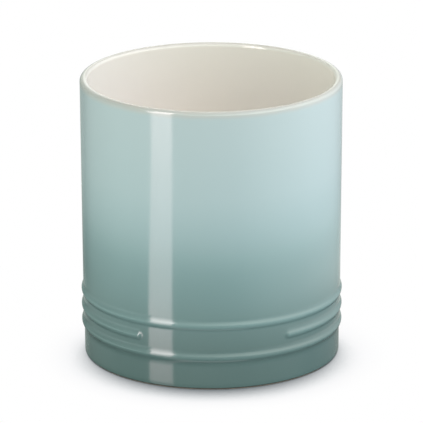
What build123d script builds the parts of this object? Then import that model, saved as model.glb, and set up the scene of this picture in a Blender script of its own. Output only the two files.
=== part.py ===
from build123d import *
from math import atan2, cos, degrees, radians, sin, sqrt, tan
import os

os.makedirs("parts", exist_ok=True)

# A glazed stoneware crock for kitchen utensils: an open pot with almost straight walls.
# The origin is the middle of the base, on the table, with +Z up and the bare panel facing -Y.
# Lengths are in millimetres and angles in degrees. The outside sizes include the glaze.

# Overall form
crock_height = 165.5
rim_radius = 76.0
wall_taper = 1.1
clay_wall = 3.6
glaze_thickness = 0.4
lip_chamfer = 1.0
lip_rounding = 1.2

# Floor, foot ring and the recess that the ring stands round
floor_thickness = 5.0
floor_rounding = 9.0
floor_chamfer = 5.5
foot_step = 0.45
foot_chamfer = 0.6
foot_ring_width = 6.0
recess_depth = 2.2

# Three raised beads, the middle one broken by the bare panel
bead_height = 1.05
bead_flat = 2.4
bead_foot = 6.8
bead_crest_radius = 5.1
bead_flank_angle = 22.0
bead_pitch = 9.5
middle_bead_height = 29.0
panel_angle = 70.4

# Where the coats of glaze begin and end
lip_glaze_drop = 3.0
foot_glaze_line = 0.9

# Worked out from the sizes above
clay_height = crock_height - glaze_thickness
table_radius = rim_radius - glaze_thickness - wall_taper
lean = degrees(atan2(wall_taper, crock_height))
floor_level = recess_depth + floor_thickness
floor_middle = recess_depth + floor_thickness / 2
ring_bore_radius = table_radius - foot_step - foot_ring_width
liner_level = floor_level + glaze_thickness
corner_leg = floor_rounding * tan(radians(45 - lean / 2))
lip_bevel = lip_chamfer + glaze_thickness * (2 - sqrt(2))
lip_glaze_line = crock_height - lip_glaze_drop
upper_bead_height = middle_bead_height + bead_pitch
lower_bead_height = middle_bead_height - bead_pitch


def wall_plane(turn):
    """Drawing plane on the clay's outer wall: x runs square out of it, y up along it."""
    out = Vector(cos(radians(lean)), 0, -sin(radians(lean))).rotate(Axis.Z, turn)
    side = Vector(0, -1, 0).rotate(Axis.Z, turn)
    return Plane(origin=Vector(table_radius, 0, 0).rotate(Axis.Z, turn), x_dir=out, z_dir=side)


def wall_point(level, out):
    """Point of the half section at this level, this far square out from the clay's outer wall."""
    return (table_radius + level * tan(radians(lean)) + out / cos(radians(lean)), level)


def wall_run(low, high):
    """Straight side drawn as a curve of three poles, so that a tall wall has long facets."""
    return Bezier(low, (Vector(low) + Vector(high)) / 2, high)


def clay_bead_section(height, drops, turn=0):
    """Section of a bead in the clay, crisp from its mould: a flat crest, and on each side a
    straight flank that falls by its own drop. A single drop gives the upper half alone."""
    flank_run = (bead_foot - bead_flat) / 2
    with BuildSketch(wall_plane(turn)) as section:
        for side, drop in zip((1, -1), drops):
            foot = height + side * (bead_flat / 2 + flank_run * drop / bead_height)
            with BuildLine():
                Polyline(
                    (bead_height, height),
                    (bead_height, height + side * bead_flat / 2),
                    (bead_height - drop, foot),
                    (-clay_wall / 2, foot),
                    (-clay_wall / 2, height),
                    close=True,
                )
            make_face()
    return section.sketch


def glazed_bead_section(height, drops, turn=0):
    """Section of a bead as its glaze softens it: a round crest, and flanks tangent to it."""
    crest_level = bead_height + glaze_thickness
    with BuildSketch(wall_plane(turn)) as section:
        for side, drop in zip((1, -1), drops):
            with BuildLine():
                crest = CenterArc(
                    (crest_level - bead_crest_radius, height), bead_crest_radius,
                    0, side * bead_flank_angle,
                )
                flank_drop = (crest @ 1).X - crest_level + drop
                foot = (crest @ 1).Y + side * flank_drop / tan(radians(bead_flank_angle))
                Polyline(
                    crest @ 1, (crest_level - drop, foot),
                    (-clay_wall / 2, foot), (-clay_wall / 2, height), crest @ 0,
                )
            make_face()
    return section.sketch


def raise_beads(section):
    """Adds the three beads, of this kind of section: two whole rings, and a middle one that stops
    at the bare panel with a rounded end on either side."""
    even = (bead_height, bead_height)
    first_end, last_end = panel_angle / 2 - 90, -panel_angle / 2 - 90
    revolve(
        section(middle_bead_height, even, turn=first_end),
        axis=Axis.Z, revolution_arc=360 - panel_angle,
    )
    # The wall curves away from under each rounded end, so its flank falls by that much more
    end_sink = bead_foot ** 2 / (2 * table_radius)
    for turn, sweep in ((first_end, 180), (last_end, -180)):
        plane = wall_plane(turn)
        revolve(
            section(middle_bead_height, (bead_height + end_sink,), turn=turn),
            axis=Axis(plane.from_local_coords((0, middle_bead_height, 0)), plane.x_dir),
            revolution_arc=sweep,
        )
    revolve(section(upper_bead_height, even), axis=Axis.Z)
    revolve(section(lower_bead_height, (bead_height, bead_height + foot_step)), axis=Axis.Z)


# Fired clay
with BuildPart() as stoneware_body:
    raise_beads(clay_bead_section)
    with BuildSketch(Plane.XZ) as pot:
        with BuildLine():
            foot = Polyline(
                (0, recess_depth),
                (ring_bore_radius, recess_depth),
                (ring_bore_radius, 0),
                wall_point(0, -foot_step - foot_chamfer),
                wall_point(foot_chamfer, -foot_step),
            )
            foot_wall = wall_run(foot @ 1, wall_point(lower_bead_height, -foot_step))
            beaded_wall = Polyline(
                foot_wall @ 1, wall_point(lower_bead_height, 0), wall_point(upper_bead_height, 0)
            )
            wall = wall_run(beaded_wall @ 1, wall_point(clay_height - lip_chamfer, 0))
            rim = Polyline(
                wall @ 1,
                wall_point(clay_height, -lip_chamfer),
                wall_point(clay_height, lip_chamfer - clay_wall),
                wall_point(clay_height - lip_chamfer, -clay_wall),
            )
            inner_wall = wall_run(rim @ 1, wall_point(floor_level + floor_chamfer, -clay_wall))
            Polyline(
                inner_wall @ 1,
                wall_point(floor_level, -clay_wall - floor_chamfer),
                (0, floor_level),
                foot @ 0,
            )
        make_face()
    revolve(pot.sketch, axis=Axis.Z)
stoneware_body.part.label = "stoneware_body"

# Coloured glaze outside, from just above the table to just below the lip
with BuildPart() as exterior_glaze:
    raise_beads(glazed_bead_section)
    with BuildSketch(Plane.XZ) as outside:
        with BuildLine():
            foot_wall = wall_run(
                wall_point(foot_glaze_line, glaze_thickness - foot_step),
                wall_point(lower_bead_height, glaze_thickness - foot_step),
            )
            beaded_wall = Polyline(
                foot_wall @ 1,
                wall_point(lower_bead_height, glaze_thickness),
                wall_point(upper_bead_height, glaze_thickness),
            )
            wall = wall_run(beaded_wall @ 1, wall_point(lip_glaze_line, glaze_thickness))
            Polyline(
                wall @ 1,
                wall_point(lip_glaze_line, -clay_wall / 2),
                wall_point(foot_glaze_line, -clay_wall / 2),
                foot_wall @ 0,
            )
        make_face()
    revolve(outside.sketch, axis=Axis.Z)
    add(stoneware_body.part, mode=Mode.SUBTRACT)
exterior_glaze.part.label = "exterior_glaze"

# Pale liner glaze on the floor, up the inside wall and over the lip, which it rounds off
with BuildPart() as interior_glaze:
    with BuildSketch(Plane.XZ) as lining:
        with BuildLine():
            lip = FilletPolyline(
                wall_point(lip_glaze_line, glaze_thickness),
                wall_point(crock_height - lip_bevel, glaze_thickness),
                wall_point(crock_height, glaze_thickness - lip_bevel),
                wall_point(crock_height, lip_bevel - clay_wall - glaze_thickness),
                wall_point(crock_height - lip_bevel, -clay_wall - glaze_thickness),
                wall_point(lip_glaze_line, -clay_wall - glaze_thickness),
                radius=lip_rounding,
            )
            inner_wall = wall_run(
                lip @ 1,
                wall_point(liner_level + corner_leg * cos(radians(lean)), -clay_wall - glaze_thickness),
            )
            corner = TangentArc(
                inner_wall @ 1,
                wall_point(liner_level, -clay_wall - glaze_thickness - corner_leg),
                tangent=inner_wall % 1,
            )
            Polyline(
                corner @ 1,
                (0, liner_level),
                (0, floor_middle),
                wall_point(floor_middle, -clay_wall / 2),
                wall_point(lip_glaze_line, -clay_wall / 2),
                lip @ 0,
            )
        make_face()
    revolve(lining.sketch, axis=Axis.Z)
    add(stoneware_body.part, mode=Mode.SUBTRACT)
interior_glaze.part.label = "interior_glaze"

# Glaze on the ceiling of the recess under the base, inside the bare foot ring
with BuildPart() as base_glaze:
    with BuildSketch(Plane.XY.offset(recess_depth)):
        Circle(ring_bore_radius)
    extrude(amount=-glaze_thickness)
base_glaze.part.label = "base_glaze"

for piece in (stoneware_body, exterior_glaze, interior_glaze, base_glaze):
    export_step(piece.part, f"parts/{piece.part.label}.step")
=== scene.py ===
import math

import bpy
import numpy as np
from mathutils import Matrix, Vector


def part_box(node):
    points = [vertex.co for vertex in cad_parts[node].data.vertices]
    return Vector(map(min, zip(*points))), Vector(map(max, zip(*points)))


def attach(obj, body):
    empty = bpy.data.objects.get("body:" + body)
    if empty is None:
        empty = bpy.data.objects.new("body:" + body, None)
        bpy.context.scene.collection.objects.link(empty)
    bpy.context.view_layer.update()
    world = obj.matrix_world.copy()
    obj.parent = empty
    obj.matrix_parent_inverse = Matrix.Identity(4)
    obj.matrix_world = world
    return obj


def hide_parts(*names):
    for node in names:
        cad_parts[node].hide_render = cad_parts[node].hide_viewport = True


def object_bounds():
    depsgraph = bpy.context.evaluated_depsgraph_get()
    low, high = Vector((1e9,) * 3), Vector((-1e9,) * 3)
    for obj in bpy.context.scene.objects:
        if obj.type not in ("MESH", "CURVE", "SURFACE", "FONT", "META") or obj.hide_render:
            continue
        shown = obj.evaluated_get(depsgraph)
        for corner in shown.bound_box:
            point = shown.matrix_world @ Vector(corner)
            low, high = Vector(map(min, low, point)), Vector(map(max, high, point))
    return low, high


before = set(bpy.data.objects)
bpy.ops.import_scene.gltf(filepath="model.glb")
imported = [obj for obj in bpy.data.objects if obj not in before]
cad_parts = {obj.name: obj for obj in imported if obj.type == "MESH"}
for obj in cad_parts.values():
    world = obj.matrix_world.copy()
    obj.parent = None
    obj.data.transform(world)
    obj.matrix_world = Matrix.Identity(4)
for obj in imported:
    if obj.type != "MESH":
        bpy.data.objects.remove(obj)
cad_low, cad_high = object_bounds()

# Every length below is in metres, and most are written as millimetres times this
mm = 0.001

# Sizes read from the frame
coat_low, coat_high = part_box("exterior_glaze")
base_low, base_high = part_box("base_glaze")
liner_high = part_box("interior_glaze")[1]
clay_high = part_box("stoneware_body")[1]
crock_height = cad_high.z
rim_radius = liner_high.x
lip_glaze_line = coat_high.z
foot_glaze_line = coat_low.z
base_glaze_radius = base_high.x
glaze_thickness = crock_height - clay_high.z

# Sizes of the walls and the relief that the frame's boxes don't give
wall_taper = 1.1 * mm
clay_wall = 3.6 * mm
floor_level = 7.6 * mm
floor_rounding = 9.0 * mm
foot_step = 0.45 * mm
bead_height = 1.05 * mm
bead_crest_radius = 3.0 * mm
bead_sag = 0.2 * mm
upper_fillet_radius = 6.5 * mm
lower_fillet_radius = 1.8 * mm
foot_fillet_radius = 4.4 * mm
base_fillet_radius = 0.8 * mm
thinnest_glaze = 0.05 * mm
bead_flat = 2.4 * mm
bead_foot = 6.8 * mm
bead_pitch = 9.5 * mm
middle_bead_level = 29.0 * mm
panel_angle = math.radians(70.4)
front_angle = -math.pi / 2

# Worked out from the sizes above
table_radius = rim_radius - wall_taper
lip_radius = clay_wall / 2 + glaze_thickness
lip_level = crock_height - lip_radius
lower_bead_level = middle_bead_level - bead_pitch
upper_bead_level = middle_bead_level + bead_pitch

# Rings and columns of the exterior coat: close together over the beads, as far as the relief
# reaches from the outer crest lines, and further apart on the plain wall
relief_reach = 4.4 * mm
relief_spacing = 0.3 * mm
back_spacing = 0.8 * mm
foot_spacing = 2.5 * mm
ring_gap = 0.6 * mm
first_foot_ring = 2.0 * mm
roll_rings, wall_rings, back_wall_rings, back_foot_rings = 6, 26, 8, 3
degrees_per_column = 1.0
bead_end_columns = 41

# Edges that turn by more than this are shaded sharp
sharp_angle = math.radians(40)


# Meshes


def mesh_object(name, points, faces):
    """Object at the origin from an array of points and lists of faces, shaded smooth but for its
    sharp edges."""
    mesh = bpy.data.meshes.new(name)
    mesh.from_pydata(points.reshape(-1, 3).tolist(), [], faces)
    mesh.shade_smooth()
    mesh.set_sharp_from_angle(angle=sharp_angle)
    made = bpy.data.objects.new(name, mesh)
    bpy.context.scene.collection.objects.link(made)
    return made


def grid_faces(rows, columns, close_rows=False):
    """Quads between neighbouring rings of a grid whose columns run right round the axis."""
    last = rows if close_rows else rows - 1
    row, column = np.meshgrid(np.arange(last), np.arange(columns), indexing="ij")
    here, above = row * columns, (row + 1) % rows * columns
    beside = (column + 1) % columns
    quads = np.stack([here + column, here + beside, above + beside, above + column], axis=-1)
    return quads.reshape(-1, 4).tolist()


def revolved(name, radii, levels, columns=360):
    """Closed surface of revolution. The profile runs from the axis to the axis, with what it
    encloses on its left, and point (r, z) of it becomes the ring (r cos t, r sin t, z)."""
    turn = np.linspace(0, 2 * math.pi, columns, endpoint=False)
    rings = np.stack(
        [
            np.outer(radii[1:-1], np.cos(turn)),
            np.outer(radii[1:-1], np.sin(turn)),
            np.outer(levels[1:-1], np.ones(columns)),
        ],
        axis=-1,
    ).reshape(-1, 3)
    poles = np.array([[0, 0, levels[0]], [0, 0, levels[-1]]])
    faces = grid_faces(len(radii) - 2, columns)
    first_pole, last_pole = len(rings), len(rings) + 1
    last_ring = len(rings) - columns
    column = np.arange(columns)
    beside = (column + 1) % columns
    for fan in (
        [np.full(columns, first_pole), beside, column],
        [np.full(columns, last_pole), last_ring + column, last_ring + beside],
    ):
        faces += np.stack(fan, axis=-1).tolist()
    return mesh_object(name, np.concatenate([rings, poles]), faces)


def arc(centre, radius, start, stop, count):
    """Points (r, z) along an arc of the profile, from one angle to another in degrees."""
    angle = np.radians(np.linspace(start, stop, count))
    return np.stack([centre[0] + radius * np.cos(angle), centre[1] + radius * np.sin(angle)], axis=-1)


def level_run(first_radius, last_radius, level, count):
    """Points (r, z) along a level stretch of the profile."""
    return np.stack([np.linspace(first_radius, last_radius, count), np.full(count, level)], axis=-1)


def wall_radius(level, inward=0.0):
    """Radius of the glazed outer wall, which widens evenly from the table to the rim."""
    return table_radius + wall_taper * level / crock_height - inward


# Relief


def soft_bead(past_end, rise, drop, lower_fillet=lower_fillet_radius):
    """Height over the foot of a glazed bead, at a way past its end and a rise over its crest
    line. A crest arc turns into a fillet arc of the opposite bend where both have the same slope.
    The glaze sagged as it melted, so the fillet is broad over the bead and tight under it."""
    smallest_reach = 1e-9
    reach = np.hypot(past_end, rise)
    upness = rise / np.maximum(reach, smallest_reach)
    crest = bead_crest_radius
    fillet = lower_fillet + (upper_fillet_radius - lower_fillet) * (1 + upness) / 2
    slope = np.arccos(1 - drop / (crest + fillet))
    inflection, width = crest * np.sin(slope), (crest + fillet) * np.sin(slope)
    top = drop - crest + np.sqrt(np.maximum(crest**2 - np.minimum(reach, inflection) ** 2, 0))
    run_out = np.clip(width - reach, 0, fillet)
    return np.where(reach < inflection, top, fillet - np.sqrt(fillet**2 - run_out**2))


def soft_relief(past_end, level):
    """Height of the glazed beads over the wall. The upper and lower ones run right round, and the
    lower one falls by the foot's step as well on its lower side."""
    crest = level + bead_sag
    middle = soft_bead(past_end, crest - middle_bead_level, bead_height)
    upper = soft_bead(0.0, crest - upper_bead_level, bead_height)
    lower = np.where(
        crest > lower_bead_level,
        soft_bead(0.0, crest - lower_bead_level, bead_height),
        soft_bead(0.0, crest - lower_bead_level, bead_height + foot_step, foot_fillet_radius)
        - foot_step,
    )
    return np.maximum(upper, middle) + lower


def crisp_bead(distance, drop):
    """Height over the foot of a bead in the clay, with a flat crest and straight flanks."""
    flank = (bead_foot - bead_flat) / 2 * drop / bead_height
    return drop * np.clip(1 - (distance - bead_flat / 2) / flank, 0, 1)


def crisp_relief(past_end, level):
    """Height of the beads in the clay over its own wall, as they came from the mould."""
    middle = crisp_bead(np.hypot(past_end, level - middle_bead_level), bead_height)
    upper = crisp_bead(np.abs(level - upper_bead_level), bead_height)
    below = np.abs(level - lower_bead_level)
    lower = np.where(
        level > lower_bead_level,
        crisp_bead(below, bead_height),
        crisp_bead(below, bead_height + foot_step) - foot_step,
    )
    return np.maximum(upper, middle) + lower


def beyond_bead_end(turn):
    """How far round the wall the bare panel has been entered from the nearer end of the middle
    bead, and 0 along the bead itself."""
    return np.maximum(panel_angle / 2 - np.abs(turn - front_angle), 0) * table_radius


def pooled_glaze_and_painted_light(raised, level):
    """How much glaze gathers at a point of the relief, which also carries painted light: under 0 on the
    crests, where it runs off and a painted highlight lies, over 0 in the hollows, where it pools and
    painted shade lies, and fading out to 0 above and below the beads."""
    hollow_pooling_and_shade, fade_power = 0.15, 8
    fade_distance = 13.0 * mm
    near_beads = np.exp(-(((level - middle_bead_level) / fade_distance) ** fade_power))
    return near_beads * (hollow_pooling_and_shade - raised / bead_height)


# The coats of glaze


def coat_columns():
    """Angles of the exterior coat's columns, closer together round the middle bead's two ends."""
    reach = (bead_crest_radius + upper_fillet_radius) / table_radius
    ends = [
        np.linspace(end - reach, end + reach, bead_end_columns)
        for end in (front_angle - panel_angle / 2, front_angle + panel_angle / 2)
    ]
    around = np.radians(np.arange(-180, 180, degrees_per_column))
    return np.unique(np.round(np.concatenate([around, *ends]), 5))


def coat_levels():
    """Levels of the exterior coat's rings: up its front from the rolled edge, and down its back."""
    roll = foot_glaze_line + glaze_thickness * (1 - np.cos(np.linspace(0, math.pi / 2, roll_rings)))
    relief_low, relief_high = lower_bead_level - relief_reach, upper_bead_level + relief_reach
    front = [
        roll,
        np.arange(roll[-1] + first_foot_ring, relief_low - ring_gap, foot_spacing),
        np.arange(relief_low, relief_high, relief_spacing),
        np.linspace(relief_high + ring_gap / 3, lip_glaze_line, wall_rings),
    ]
    clay_relief_high = upper_bead_level + bead_foot / 2
    back = [
        np.linspace(lip_glaze_line, clay_relief_high + ring_gap, back_wall_rings),
        np.arange(clay_relief_high, relief_low, -back_spacing),
        np.linspace(relief_low - ring_gap, foot_glaze_line, back_foot_rings),
    ]
    return np.concatenate(front), np.concatenate(back)


def exterior_coat():
    """Coat of glaze on the outer wall, as rings over every level. Its front is the wall line
    plus the soft beads, and its back is the clay's own outline, which the front stays clear of.
    The lower edge rolls in as a quarter circle, where the glaze was wiped from the foot."""
    turn = coat_columns()
    front_levels, back_levels = coat_levels()
    past_end, front = np.meshgrid(beyond_bead_end(turn), front_levels)
    past_end_behind, back = np.meshgrid(beyond_bead_end(turn), back_levels)
    thinned = np.clip(1 - (front - foot_glaze_line) / glaze_thickness, 0, 1)
    rolled_in = glaze_thickness * (1 - np.sqrt(1 - thinned**2))
    over_clay = crisp_relief(past_end, front) - glaze_thickness + thinnest_glaze
    raised = np.maximum(soft_relief(past_end, front), over_clay)
    front_radius = wall_radius(front, rolled_in) + raised
    back_radius = wall_radius(back, glaze_thickness) + crisp_relief(past_end_behind, back)
    radius = np.concatenate([front_radius, back_radius])
    level = np.concatenate([front, back])
    points = np.stack([radius * np.cos(turn), radius * np.sin(turn), level], axis=-1)
    coat = mesh_object("exterior_coat", points, grid_faces(*radius.shape, close_rows=True))

    # Glaze that runs off the crests and pools in the hollows, with a painted highlight on the crests
    # and painted shade in the hollows, kept as a point attribute for the material
    pooled_and_painted = np.zeros(radius.shape)
    pooled_and_painted[: len(front_levels)] = pooled_glaze_and_painted_light(raised, front)
    pooling_and_painted_light = coat.data.attributes.new("pooling_and_painted_light", "FLOAT", "POINT")
    pooling_and_painted_light.data.foreach_set("value", pooled_and_painted.ravel())
    return coat


def liner_coat():
    """Coat of pale glaze over the lip, down the inside and across the floor. The back runs from
    the axis out along the floor, up and over the lip, and the front comes back the same way."""
    inner = wall_radius(0, clay_wall + 2 * glaze_thickness)
    floor_corner = (inner - floor_rounding, floor_level + floor_rounding)
    lip_centre = (wall_radius(lip_level) - lip_radius, lip_level)
    lean_in = wall_taper / crock_height

    def face(offset):
        """One face of the coat, as (r, z) from the axis to the lower edge outside the lip."""
        floor = level_run(0, floor_corner[0], floor_level - offset, count=24)
        corner = arc(floor_corner, floor_rounding + offset, -90, 0, count=28)
        corner[:, 0] += lean_in * corner[:, 1]
        level = np.linspace(floor_corner[1], lip_level, num=30)[1:]
        wall = np.stack([inner + offset + lean_in * level, level], axis=-1)
        lip = arc(lip_centre, lip_radius - offset, 180, 0, count=40)[1:]
        collar_level = np.linspace(lip_level, lip_glaze_line, num=4)[1:]
        collar = np.stack([wall_radius(collar_level, offset), collar_level], axis=-1)
        return np.concatenate([floor, corner[1:], wall, lip, collar])

    profile = np.concatenate([face(glaze_thickness), face(0.0)[::-1]])
    return revolved("liner_coat", profile[:, 0], profile[:, 1])


def base_coat():
    """Glaze in the recess under the base: a disc whose edge climbs the ring as a small fillet."""
    flat_radius = base_glaze_radius - base_fillet_radius
    front = level_run(0, flat_radius, base_low.z, count=16)
    edge = arc((flat_radius, base_low.z - base_fillet_radius), base_fillet_radius, 90, 0, count=10)
    back = level_run(base_glaze_radius, 0, base_high.z, count=12)
    profile = np.concatenate([front, edge[1:], back])
    return revolved("base_coat", profile[:, 0], profile[:, 1], columns=180)


# Materials


def linear(code):
    """Linear colour with full alpha from an sRGB hex code."""
    values = np.array([int(code[i : i + 2], 16) for i in (1, 3, 5)]) / 255
    low, high = values / 12.92, ((values + 0.055) / 1.055) ** 2.4
    return (*np.where(values <= 0.04045, low, high), 1.0)


def add_node(tree, kind, inputs=None, **settings):
    """Adds a node, sets its properties, and sets or links each named or numbered input."""
    made = tree.nodes.new(kind)
    for name, value in settings.items():
        setattr(made, name, value)
    for socket, value in (inputs or {}).items():
        if isinstance(value, bpy.types.NodeSocket):
            tree.links.new(value, made.inputs[socket])
        else:
            made.inputs[socket].default_value = value
    return made


def lay_stops(ramp, stops):
    """Gives a colour ramp these stops, each a position from 0 to 1 and a linear colour."""
    while len(ramp.elements) > 1:
        ramp.elements.remove(ramp.elements[-1])
    ramp.elements[0].position, ramp.elements[0].color = stops[0]
    for position, colour in stops[1:]:
        ramp.elements.new(position).color = colour


def new_material(name):
    """Empty node material and its tree."""
    material = bpy.data.materials.new(name)
    material.use_nodes = True
    material.node_tree.nodes.clear()
    return material, material.node_tree


# The sprayed colour by level, from the table to the rim, in millimetres, and how broadly and how
# far its shades drift up and down
sprayed_colours = (
    (0, "#56706C"),
    (20, "#56706C"),
    (45, "#6E8C89"),
    (70, "#7B9B99"),
    (90, "#98B4B3"),
    (115, "#AAC2C1"),
    (165, "#B2C6C4"),
)
spray_drift_width = 55 * mm
spray_drift = 2.5 * mm

# Cream of the liner glaze where it lies thick, in two near tones, where it drained, and where it broke
# thin over the crown of the lip, a greyer tone that also paints shade on the crown and its inner curve.
# Then the width of its clouds, and how far down it drained
thick_creams = ("#F6F2E8", "#F8F4EC")
drained_cream = "#DBDBD0"
thin_shaded_cream = "#C2BFB1"
cloud_width = 30 * mm
drained_height = 50 * mm

# Ways over the lip between which the cream thins and greys as painted shade, and between which the
# sprayed colour fades in, and how far and how broadly they waver
thin_shade_from, thin_shade_to = -0.8, -0.25
spray_from, spray_to = -0.45, 2.35
lip_waver = 0.25
lip_waver_width = 9 * mm

# Gloss of the glazes with its haze and its ripple, and how much paler the sprayed glaze is painted for
# each share of it that runs off: partly thinner glaze, partly a painted highlight on the bead crests
least_roughness, most_roughness = 0.09, 0.13
haze_width = 14 * mm
ripple_width = 11 * mm
ripple_depth = 0.012 * mm
breaking_and_highlight_share = 0.25

# Grain of the bare clay, its iron specks, whose sizes are shares of their spacing, and the height from
# the table over which a dark painted shadow fades in on the clay
buff_tones = ("#B9A98F", "#D0C3AC")
grain_width = 0.5 * mm
grain_depth = 0.05 * mm
speck_spacing = 2.0 * mm
speck_middle, speck_edge = 0.06, 0.14
speck_strength = 0.7
painted_shadow_height = 0.4 * mm


def sprayed_glaze(tree, place):
    """Colour of the outer glaze: shades sprayed one into the other up the wall. The level is
    shifted by a broad noise, because the spray gun doesn't lay an even line."""
    drift = add_node(
        tree, "ShaderNodeTexNoise", {"Vector": place, "Scale": 1 / spray_drift_width, "Detail": 1.5}
    )
    parts = add_node(tree, "ShaderNodeSeparateXYZ", {0: place})
    shift = add_node(
        tree, "ShaderNodeMath",
        {0: drift.outputs["Fac"], 1: 2 * spray_drift, 2: -spray_drift}, operation="MULTIPLY_ADD",
    )
    level = add_node(
        tree, "ShaderNodeMath", {0: parts.outputs["Z"], 1: shift.outputs[0]}, operation="ADD"
    )
    share = add_node(tree, "ShaderNodeMath", {0: level.outputs[0], 1: crock_height}, operation="DIVIDE")
    colour = add_node(tree, "ShaderNodeValToRGB", {0: share.outputs[0]})
    colour.color_ramp.interpolation = "B_SPLINE"
    lay_stops(
        colour.color_ramp,
        [(height * mm / crock_height, linear(code)) for height, code in sprayed_colours],
    )
    return colour.outputs["Color"]


def way_over_lip(tree, place):
    """How far over the lip a point is: -1 on the inside, 0 on the crown, 1 on the outside, and
    one more for each lip radius down the outer wall. It wavers, as no glaze line is drawn true."""
    parts = add_node(tree, "ShaderNodeSeparateXYZ", {0: place})
    flat = add_node(tree, "ShaderNodeCombineXYZ", {0: parts.outputs["X"], 1: parts.outputs["Y"]})
    radius = add_node(tree, "ShaderNodeVectorMath", {0: flat.outputs[0]}, operation="LENGTH")
    across = add_node(
        tree, "ShaderNodeMapRange",
        {
            "Value": radius.outputs["Value"], "From Min": rim_radius - 2 * lip_radius,
            "From Max": rim_radius, "To Min": -1.0, "To Max": 1.0,
        },
    )
    most_below = 4.0
    below = add_node(
        tree, "ShaderNodeMapRange",
        {
            "Value": parts.outputs["Z"], "From Min": lip_level,
            "From Max": lip_level - most_below * lip_radius, "To Min": 0.0, "To Max": most_below,
        },
    )
    outside = add_node(tree, "ShaderNodeMath", {0: across.outputs[0], 1: 0.0}, operation="GREATER_THAN")
    way = add_node(
        tree, "ShaderNodeMath",
        {0: below.outputs[0], 1: outside.outputs[0], 2: across.outputs[0]}, operation="MULTIPLY_ADD",
    )
    noise = add_node(
        tree, "ShaderNodeTexNoise", {"Vector": place, "Scale": 1 / lip_waver_width, "Detail": 2.0}
    )
    waver = add_node(
        tree, "ShaderNodeMapRange",
        {"Value": noise.outputs["Fac"], "To Min": -lip_waver, "To Max": lip_waver},
    )
    return add_node(
        tree, "ShaderNodeMath", {0: way.outputs[0], 1: waver.outputs[0]}, operation="ADD"
    ).outputs[0]


def pale_glaze(tree, place):
    """Cream of the liner, with the faint clouds of a fired glaze. It was poured and drained, so
    it lies thinner at the lip, and greyer there than further down."""
    clouds = add_node(
        tree, "ShaderNodeTexNoise", {"Vector": place, "Scale": 1 / cloud_width, "Detail": 1.0}
    )
    first_cream, second_cream = thick_creams
    clouded = add_node(
        tree, "ShaderNodeMix",
        {"Factor": clouds.outputs["Fac"], "A": linear(first_cream), "B": linear(second_cream)},
        data_type="RGBA",
    )
    parts = add_node(tree, "ShaderNodeSeparateXYZ", {0: place})
    drained = add_node(
        tree, "ShaderNodeMapRange",
        {
            "Value": parts.outputs["Z"], "From Min": crock_height - drained_height,
            "From Max": crock_height,
        },
    )
    return add_node(
        tree, "ShaderNodeMix",
        {"Factor": drained.outputs[0], "A": clouded.outputs["Result"], "B": linear(drained_cream)},
        data_type="RGBA",
    ).outputs["Result"]


def over_lip(tree, place, sprayed):
    """Colour across the lip. The cream glaze is thinner and greyer over the crown, which also paints
    shade over the crown and its inner curve, and the sprayed colour fades in from there down the first
    millimetres of the outer wall."""
    way = way_over_lip(tree, place)
    # Painted shade: the cream greys over the lip's inner curve and crown, partly as thinner glaze
    thinned = add_node(
        tree, "ShaderNodeMapRange",
        {"Value": way, "From Min": thin_shade_from, "From Max": thin_shade_to},
        interpolation_type="SMOOTHSTEP",
    )
    cream = add_node(
        tree, "ShaderNodeMix",
        {"Factor": thinned.outputs[0], "A": pale_glaze(tree, place), "B": linear(thin_shaded_cream)},
        data_type="RGBA",
    )
    faded_in = add_node(
        tree, "ShaderNodeMapRange", {"Value": way, "From Min": spray_from, "From Max": spray_to},
        interpolation_type="SMOOTHSTEP",
    )
    return add_node(
        tree, "ShaderNodeMix",
        {"Factor": faded_in.outputs[0], "A": cream.outputs["Result"], "B": sprayed}, data_type="RGBA",
    ).outputs["Result"]


def gloss(tree, place, colour):
    """Glossy coat of that colour. The gloss varies a little, and a very shallow, broad ripple
    bends reflections as a fired glaze does."""
    haze = add_node(
        tree, "ShaderNodeTexNoise", {"Vector": place, "Scale": 1 / haze_width, "Detail": 2.0}
    )
    roughness = add_node(
        tree, "ShaderNodeMapRange",
        {"Value": haze.outputs["Fac"], "To Min": least_roughness, "To Max": most_roughness},
    )
    ripple = add_node(
        tree, "ShaderNodeTexNoise", {"Vector": place, "Scale": 1 / ripple_width, "Detail": 1.0}
    )
    bump = add_node(
        tree, "ShaderNodeBump",
        {"Height": ripple.outputs["Fac"], "Strength": 1.0, "Distance": ripple_depth},
    )
    shader = add_node(
        tree, "ShaderNodeBsdfPrincipled",
        {
            "Base Color": colour, "Roughness": roughness.outputs["Result"], "IOR": 1.5,
            "Normal": bump.outputs["Normal"],
        },
    )
    add_node(tree, "ShaderNodeOutputMaterial", {"Surface": shader.outputs["BSDF"]})


def exterior_glaze_material():
    """Gloss stoneware glaze, sprayed in shades from pale to deep sea green and fired. It breaks a
    little paler over the beads and gathers a little deeper in the hollows beside them, and these tones
    also paint a highlight on the bead crests and shade in the hollows."""
    material, tree = new_material("sprayed_sea_green_stoneware_glaze")
    place = add_node(tree, "ShaderNodeTexCoord").outputs["Object"]
    # Painted highlight and shade: paler on the bead crests and darker in the hollows, partly glaze that
    # broke thin or pooled
    pooling_and_painted_light = add_node(tree, "ShaderNodeAttribute", attribute_name="pooling_and_painted_light")
    brightness = add_node(
        tree, "ShaderNodeMath",
        {0: pooling_and_painted_light.outputs["Fac"], 1: -breaking_and_highlight_share, 2: 1.0}, operation="MULTIPLY_ADD",
    )
    broken_and_painted = add_node(
        tree, "ShaderNodeVectorMath",
        {0: sprayed_glaze(tree, place), "Scale": brightness.outputs[0]}, operation="SCALE",
    )
    gloss(tree, place, over_lip(tree, place, broken_and_painted.outputs["Vector"]))
    return material


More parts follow.
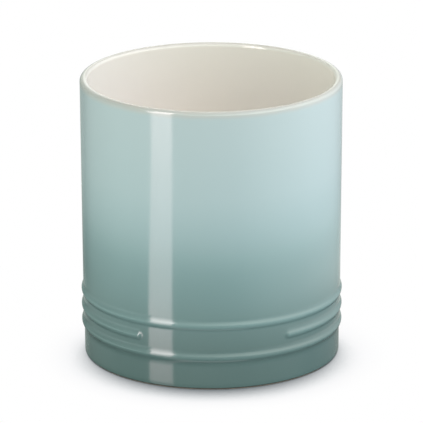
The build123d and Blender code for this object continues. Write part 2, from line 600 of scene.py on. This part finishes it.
def liner_glaze_material():
    """Gloss cream liner glaze, which runs over the lip and meets the sprayed colour there."""
    material, tree = new_material("cream_liner_stoneware_glaze")
    place = add_node(tree, "ShaderNodeTexCoord").outputs["Object"]
    gloss(tree, place, over_lip(tree, place, sprayed_glaze(tree, place)))
    return material


def base_glaze_material():
    """The same cream glaze in the recess under the base, with no sprayed colour near it."""
    material, tree = new_material("cream_base_stoneware_glaze")
    place = add_node(tree, "ShaderNodeTexCoord").outputs["Object"]
    gloss(tree, place, pale_glaze(tree, place))
    return material


def clay_material():
    """Bare vitrified stoneware, buff and matt, with a fine sandy grain and dark iron specks. The flat
    of the foot keeps the pale clay colour, and up its edges, next to the glaze, the clay is painted
    dark as the shadow where the crock meets the table."""
    material, tree = new_material("bare_buff_stoneware")
    place = add_node(tree, "ShaderNodeTexCoord").outputs["Object"]
    grain = add_node(
        tree, "ShaderNodeTexNoise", {"Vector": place, "Scale": 1 / grain_width, "Detail": 4.0}
    )
    first_tone, second_tone = buff_tones
    buff = add_node(
        tree, "ShaderNodeMix",
        {"Factor": grain.outputs["Fac"], "A": linear(first_tone), "B": linear(second_tone)},
        data_type="RGBA",
    )
    specks = add_node(tree, "ShaderNodeTexVoronoi", {"Vector": place, "Scale": 1 / speck_spacing})
    in_speck = add_node(
        tree, "ShaderNodeMapRange",
        {
            "Value": specks.outputs["Distance"], "From Min": speck_middle, "From Max": speck_edge,
            "To Min": speck_strength, "To Max": 0.0,
        },
    )
    speckled = add_node(
        tree, "ShaderNodeMix",
        {"Factor": in_speck.outputs[0], "A": buff.outputs["Result"], "B": linear("#6E5A48")},
        data_type="RGBA",
    )
    parts = add_node(tree, "ShaderNodeSeparateXYZ", {0: place})
    # Painted shadow: the clay turns dark grey-green from just over the table up, for the shade where
    # the foot meets the table
    painted_shadow_fade = add_node(
        tree, "ShaderNodeMapRange",
        {"Value": parts.outputs["Z"], "From Min": 0.0, "From Max": painted_shadow_height},
    )
    with_painted_shadow = add_node(
        tree, "ShaderNodeMix",
        {"Factor": painted_shadow_fade.outputs[0], "A": speckled.outputs["Result"], "B": linear("#3B3F3A")},
        data_type="RGBA",
    )
    bump = add_node(
        tree, "ShaderNodeBump",
        {"Height": grain.outputs["Fac"], "Strength": 0.6, "Distance": grain_depth},
    )
    shader = add_node(
        tree, "ShaderNodeBsdfPrincipled",
        {
            "Base Color": with_painted_shadow.outputs["Result"], "Roughness": 0.85, "IOR": 1.5,
            "Normal": bump.outputs["Normal"],
        },
    )
    add_node(tree, "ShaderNodeOutputMaterial", {"Surface": shader.outputs["BSDF"]})
    return material


# The crock

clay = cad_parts["stoneware_body"]
clay.data.materials.clear()
clay.data.materials.append(clay_material())

for piece, node, slot, finish in (
    (exterior_coat(), "exterior_glaze", "coloured_glaze", exterior_glaze_material()),
    (liner_coat(), "interior_glaze", "liner_glaze", liner_glaze_material()),
    (base_coat(), "base_glaze", "liner_glaze", base_glaze_material()),
):
    piece.data.materials.append(finish)
    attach(piece, "root")
    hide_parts(node)


# Studio. Angles run from the front, -Y, towards +X, in degrees, and heights up from the table

# The cards that stand round the crock and show in its reflections alone
surround_radius = 1.0
surround_low, surround_high = -3.5, 1.6
strip_radius = 0.95
room_tint_left, room_tint_right = (0.8, 1.0, 0.96, 1.0), (1.0, 0.96, 0.88, 1.0)
strip_tint = (1.12, 1.0, 1.0, 1.0)

# The room's light in four bands that are added up. Each has its brightness by angle, and then its
# share by height
table_band = (
    (
        (-180, 0.5), (-140, 0.4), (-105, 0.9), (-60, 1.0), (-20, 1.2), (20, 0.7), (75, 0.6),
        (95, 0.3), (180, 0.5),
    ),
    ((-0.6, 0.3), (-0.4, 0.4), (-0.3, 1.0), (-0.27, 0.0)),
)
left_band = (
    (
        (-180, 0.5), (-145, 0.2), (-115, 0.8), (-85, 1.6), (-60, 1.7), (0, 0.6), (20, 0.0),
        (180, 0.0),
    ),
    ((-0.33, 0.0), (-0.3, 0.1), (-0.27, 0.8), (-0.2, 1.15), (-0.1, 1.2), (0.2, 0.5), (0.6, 0.5)),
)
right_band = (
    (
        (-180, 0.0), (0, 0.0), (20, 0.5), (50, 1.1), (75, 1.4), (95, 1.5), (115, 1.2),
        (145, 0.6), (180, 0.5),
    ),
    ((-0.33, 0.0), (-0.3, 0.1), (-0.27, 1.3), (-0.2, 0.8), (0.0, 1.0), (0.6, 1.2)),
)
upper_band = (
    (
        (-180, 3.5), (-170, 1.8), (-160, 1.2), (-145, 1.0), (-125, 0.4), (-95, 0.4), (-60, 0.9),
        (-20, 3.0), (35, 4.3), (90, 2.7), (140, 0.4), (165, 0.2), (180, 3.5),
    ),
    ((0.1, 0.0), (0.2, 0.4), (0.45, 0.5), (0.7, 1.0), (0.8, 1.0), (1.0, 0.1)),
)

# The strip lamp: the angles of its sides by height, and its brightness by height
strip_edges = (
    (surround_low, -56.5, -35.0), (-0.26, -57.0, -35.0), (-0.13, -52.5, -34.0),
    (0.3, -55.0, -34.0), (surround_high, -56.5, -33.5),
)
strip_levels = (
    (-0.6, 1.0), (-0.4, 1.5), (-0.32, 3.0), (-0.27, 5.5), (-0.24, 5.0), (-0.21, 4.2),
    (-0.17, 3.6), (-0.13, 5.0), (0.0, 6.5), (0.7, 14.0), (0.85, 13.0), (1.0, 4.0),
)

# Soft light of the studio tent by the upward part of its direction: strongest at the horizon and
# weak overhead, cooler on the right. What comes from under the table lights the base alone
tent_levels = ((-1.0, 0.75), (-0.06, 0.75), (0.0, 2.05), (1.0, 0.12))
tent_tint_left, tent_tint_right = (1.0, 1.0, 0.96, 1.0), (1.0, 1.0, 1.05, 1.0)

# The two round lamps
daylight = (1.08, 1.0, 1.03)
window_light = (1.0, 1.05, 1.5)
lamp_distance = 1.6
lamp_width = 1.0

# The floor, and its shade by how much of the light from above and behind reaches a point of it
floor_radius = 3.0
floor_hole_radius = table_radius - 2 * mm
shade_reach = 40 * mm
shade_direction = (0.0, 0.5, 0.87)
floor_shades = (
    (0.1, "#484C4E"), (0.3, "#6A7376"), (0.4, "#9B9FA2"), (0.5, "#C4C7C9"), (0.6, "#E8EAEB"),
    (0.7, "#FAFAFB"), (0.9, "#FFFFFF"),
)

# The camera, at the photograph's distance and angle
focal_length = 383.7
sensor_width = 36.0
far_clip = 20.0
camera_angle = math.radians(-0.85)
camera_elevation = math.radians(17.549)
camera_roll = math.radians(-0.155)
camera_distance = 2627 * mm
camera_aim_level = 83.57 * mm


def surround_card(name, radius, edges, columns):
    """Upright curved card round the crock. Each of its edges is a height and the angles that the
    card runs between there, and point (a, z) of it is (r sin a, -r cos a, z)."""
    height, first, last = np.array(edges).T
    angle = np.radians(np.linspace(first, last, columns, axis=-1))
    level = np.broadcast_to(height[:, None], angle.shape)
    points = np.stack([radius * np.sin(angle), -radius * np.cos(angle), level], axis=-1)
    row, column = np.meshgrid(np.arange(len(edges) - 1), np.arange(columns - 1), indexing="ij")
    here = row * columns + column
    faces = np.stack([here, here + 1, here + columns + 1, here + columns], axis=-1)
    card = mesh_object(name, points, faces.reshape(-1, 4).tolist())
    card.visible_camera = False
    card.visible_diffuse = False
    card.visible_transmission = False
    card.visible_shadow = False
    return card


def by_position(tree, value, stops):
    """Brightness looked up in these stops, each a position and a level."""
    low, high, peak = stops[0][0], stops[-1][0], max(level for _, level in stops)
    share = add_node(tree, "ShaderNodeMapRange", {"Value": value, "From Min": low, "From Max": high})
    ramp = add_node(tree, "ShaderNodeValToRGB", {0: share.outputs["Result"]})
    lay_stops(
        ramp.color_ramp,
        [((at - low) / (high - low), (*[level / peak] * 3, 1.0)) for at, level in stops],
    )
    return add_node(
        tree, "ShaderNodeMath", {0: ramp.outputs["Color"], 1: peak}, operation="MULTIPLY"
    ).outputs[0]


def room_strength(tree, parts):
    """Light of the room by angle and by height: the sum of its bands."""
    minus_y = add_node(tree, "ShaderNodeMath", {0: parts.outputs["Y"], 1: -1.0}, operation="MULTIPLY")
    angle = add_node(
        tree, "ShaderNodeMath", {0: parts.outputs["X"], 1: minus_y.outputs[0]}, operation="ARCTAN2"
    )
    degrees = add_node(
        tree, "ShaderNodeMath", {0: angle.outputs[0], 1: math.degrees(1)}, operation="MULTIPLY"
    )
    total = 0.0
    for levels, shares in (table_band, left_band, right_band, upper_band):
        total = add_node(
            tree, "ShaderNodeMath",
            {
                0: by_position(tree, degrees.outputs[0], levels),
                1: by_position(tree, parts.outputs["Z"], shares),
                2: total,
            },
            operation="MULTIPLY_ADD",
        ).outputs[0]
    return total


def strip_strength(tree, parts):
    """Light of the strip lamp by height."""
    return by_position(tree, parts.outputs["Z"], strip_levels)


def glow(name, strength, left_tint, right_tint):
    """Material that only shines, evenly to all sides, and changes its tint from left to right."""
    material, tree = new_material(name)
    place = add_node(tree, "ShaderNodeTexCoord").outputs["Object"]
    parts = add_node(tree, "ShaderNodeSeparateXYZ", {0: place})
    across = add_node(
        tree, "ShaderNodeMapRange",
        {"Value": parts.outputs["X"], "From Min": -surround_radius, "From Max": surround_radius},
    )
    tint = add_node(
        tree, "ShaderNodeMix",
        {"Factor": across.outputs[0], "A": left_tint, "B": right_tint}, data_type="RGBA",
    )
    light = add_node(
        tree, "ShaderNodeEmission",
        {"Color": tint.outputs["Result"], "Strength": strength(tree, parts)},
    )
    add_node(tree, "ShaderNodeOutputMaterial", {"Surface": light.outputs[0]})
    # It shows in reflections alone, so it isn't sampled as a lamp
    material.cycles.emission_sampling = "NONE"
    return material


def backdrop_rays(tree):
    """Above 0 for rays that should meet plain white: from the camera, mirrored or let through."""
    path = add_node(tree, "ShaderNodeLightPath")
    mirrored = add_node(
        tree, "ShaderNodeMath",
        {0: path.outputs["Is Camera Ray"], 1: path.outputs["Is Glossy Ray"]}, operation="MAXIMUM",
    )
    return add_node(
        tree, "ShaderNodeMath",
        {0: mirrored.outputs[0], 1: path.outputs["Is Transmission Ray"]}, operation="MAXIMUM",
    ).outputs[0]


def floor_material():
    """Matt white floor. Straight to the camera it is plain white, but for the soft shade where
    the crock keeps off the light that comes from above and behind. From below it is clear, so
    that the base can be looked at."""
    material, tree = new_material("white_studio_floor")
    direction = add_node(tree, "ShaderNodeCombineXYZ", dict(enumerate(shade_direction)))
    nearness = add_node(
        tree, "ShaderNodeAmbientOcclusion",
        {"Distance": shade_reach, "Normal": direction.outputs[0]}, samples=16, only_local=False,
    )
    ramp = add_node(tree, "ShaderNodeValToRGB", {0: nearness.outputs["AO"]})
    lay_stops(ramp.color_ramp, [(lit, linear(code)) for lit, code in floor_shades])
    seen = add_node(tree, "ShaderNodeEmission", {"Color": ramp.outputs["Color"], "Strength": 1.0})
    matt = add_node(tree, "ShaderNodeBsdfDiffuse", {"Color": linear("#CCCCCC")})
    by_ray = add_node(
        tree, "ShaderNodeMixShader", {0: backdrop_rays(tree), 1: matt.outputs[0], 2: seen.outputs[0]}
    )
    side = add_node(tree, "ShaderNodeNewGeometry")
    clear = add_node(tree, "ShaderNodeBsdfTransparent")
    by_side = add_node(
        tree, "ShaderNodeMixShader",
        {0: side.outputs["Backfacing"], 1: by_ray.outputs[0], 2: clear.outputs[0]},
    )
    add_node(tree, "ShaderNodeOutputMaterial", {"Surface": by_side.outputs[0]})
    # Its shine is there for the backdrop's rays alone, so it isn't sampled as a lamp
    material.cycles.emission_sampling = "NONE"
    return material


def studio_floor():
    """Flat round floor, left open just inside the foot ring, so that the base shows from below."""
    columns = 180
    turn = np.linspace(0, 2 * math.pi, columns, endpoint=False)
    rings = [
        [radius * np.cos(turn), radius * np.sin(turn), 0 * turn]
        for radius in (floor_radius, floor_hole_radius)
    ]
    floor = mesh_object("studio_floor", np.transpose(rings, (0, 2, 1)), grid_faces(2, columns))
    floor.data.materials.append(floor_material())
    floor.visible_glossy = False


def studio_world():
    """The tent's light round the crock, behind a backdrop that is plain white to the camera."""
    world = bpy.data.worlds.new("studio_world")
    world.use_nodes = True
    world.node_tree.nodes.clear()
    bpy.context.scene.world = world
    tree = world.node_tree
    direction = add_node(tree, "ShaderNodeTexCoord").outputs["Generated"]
    parts = add_node(tree, "ShaderNodeSeparateXYZ", {0: direction})
    across = add_node(tree, "ShaderNodeMapRange", {"Value": parts.outputs["X"], "From Min": -1.0})
    tint = add_node(
        tree, "ShaderNodeMix",
        {"Factor": across.outputs[0], "A": tent_tint_left, "B": tent_tint_right}, data_type="RGBA",
    )
    tent = add_node(
        tree, "ShaderNodeBackground",
        {
            "Color": tint.outputs["Result"],
            "Strength": by_position(tree, parts.outputs["Z"], tent_levels),
        },
    )
    white = add_node(tree, "ShaderNodeBackground", {"Color": linear("#FFFFFF"), "Strength": 1.0})
    by_ray = add_node(
        tree, "ShaderNodeMixShader", {0: backdrop_rays(tree), 1: tent.outputs[0], 2: white.outputs[0]}
    )
    add_node(tree, "ShaderNodeOutputWorld", {"Surface": by_ray.outputs[0]})


def towards(angle, elevation):
    """Direction at an angle from the front towards the right, and up from level, in radians."""
    return Vector((
        math.sin(angle) * math.cos(elevation),
        -math.cos(angle) * math.cos(elevation),
        math.sin(elevation),
    ))


def area_lamp(name, angle, elevation, power, colour):
    """Soft round lamp that shines on the middle of the crock."""
    lamp = bpy.data.lights.new(name, "AREA")
    lamp.shape = "DISK"
    lamp.size = lamp_width
    lamp.energy = power
    lamp.color = colour
    made = bpy.data.objects.new(name, lamp)
    out = towards(math.radians(angle), math.radians(elevation))
    made.location = Vector((0, 0, crock_height / 2)) + lamp_distance * out
    made.rotation_euler = out.to_track_quat("Z", "Y").to_euler()
    made.visible_camera = False
    made.visible_glossy = False
    bpy.context.scene.collection.objects.link(made)


def studio_camera():
    """Camera that looks from its distance at a point on the crock's axis, rolled a little."""
    lens = bpy.data.cameras.new("camera")
    lens.sensor_fit = "HORIZONTAL"
    lens.sensor_width = sensor_width
    lens.lens = focal_length
    lens.clip_end = far_clip
    camera = bpy.data.objects.new("camera", lens)
    bpy.context.scene.collection.objects.link(camera)
    out = towards(camera_angle, camera_elevation)
    place = Matrix.Translation(Vector((0, 0, camera_aim_level)) + out * camera_distance)
    look = out.to_track_quat("Z", "Y").to_matrix().to_4x4()
    camera.matrix_world = place @ look @ Matrix.Rotation(camera_roll, 4, "Z")
    bpy.context.scene.camera = camera


room_edges = ((surround_low, -180, 180), (surround_high, -180, 180))
room = surround_card("room_card", surround_radius, room_edges, columns=121)
room.data.materials.append(glow("room_light", room_strength, room_tint_left, room_tint_right))
strip = surround_card("strip_card", strip_radius, strip_edges, columns=12)
strip.data.materials.append(glow("strip_light", strip_strength, strip_tint, strip_tint))
studio_floor()
studio_world()
area_lamp("right_lamp", angle=60, elevation=40, power=7.3, colour=daylight)
area_lamp("window_lamp", angle=105, elevation=42, power=4.2, colour=window_light)
studio_camera()
bpy.context.scene.view_settings.view_transform = "Standard"
